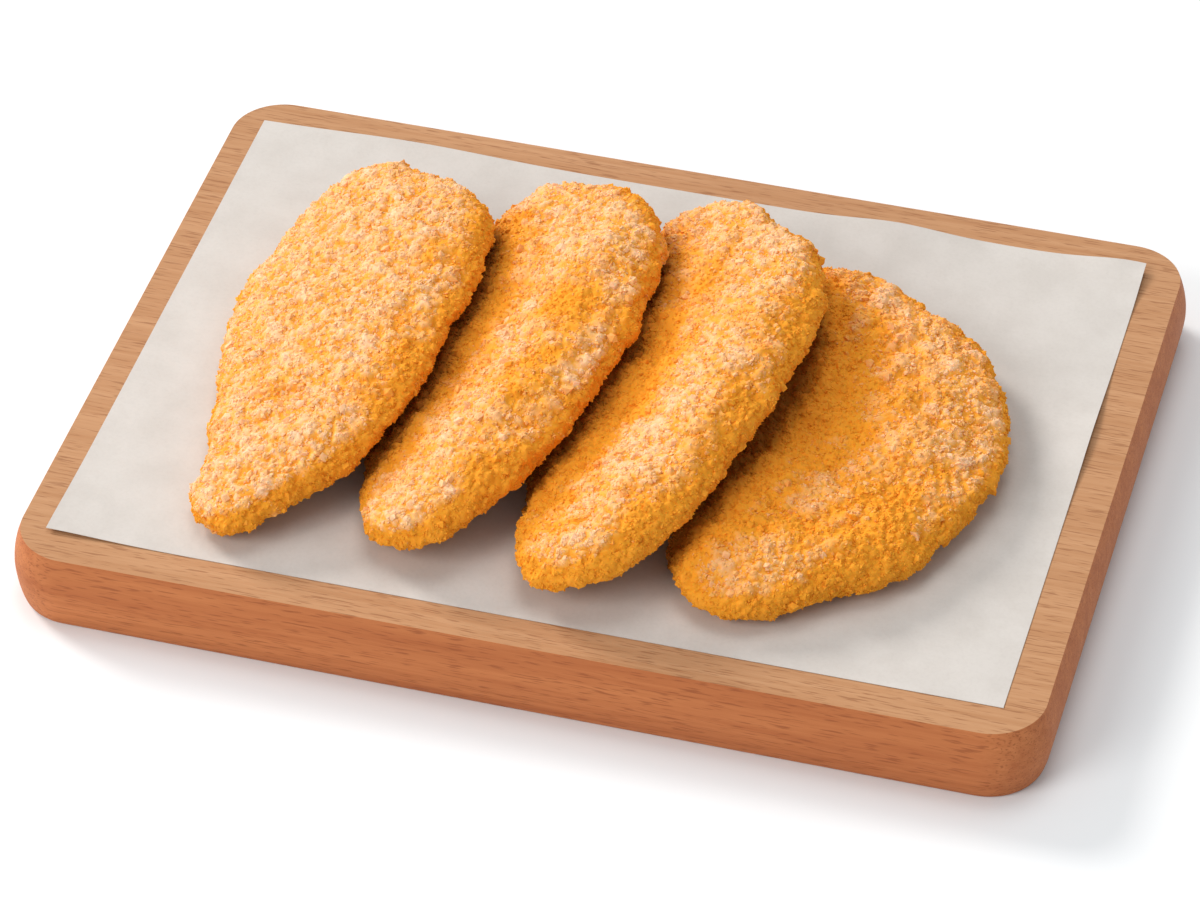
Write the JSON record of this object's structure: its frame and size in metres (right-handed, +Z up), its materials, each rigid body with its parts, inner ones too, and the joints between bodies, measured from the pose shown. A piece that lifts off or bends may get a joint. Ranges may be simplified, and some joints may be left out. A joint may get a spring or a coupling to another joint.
{
  "type": "breaded schnitzels on a board",
  "caption": "Crumbed, fried schnitzels shingled on baking paper on a rounded beech board.",
  "frame": {"origin": "centre of the board's underside", "axes": "+X along the board's long side, +Y towards the back of the food, +Z up"},
  "size_m": [0.32, 0.24, 0.0644],
  "materials": {
    "beech": "satin",
    "baking_paper": "matte",
    "crumb_crust": "matte"
  },
  "bodies": {
    "root": {"board": "beech", "paper": "baking_paper", "schnitzel_1": "crumb_crust", "schnitzel_2": "crumb_crust", "schnitzel_3": "crumb_crust", "schnitzel_4": "crumb_crust"}
  },
  "joints": []
}
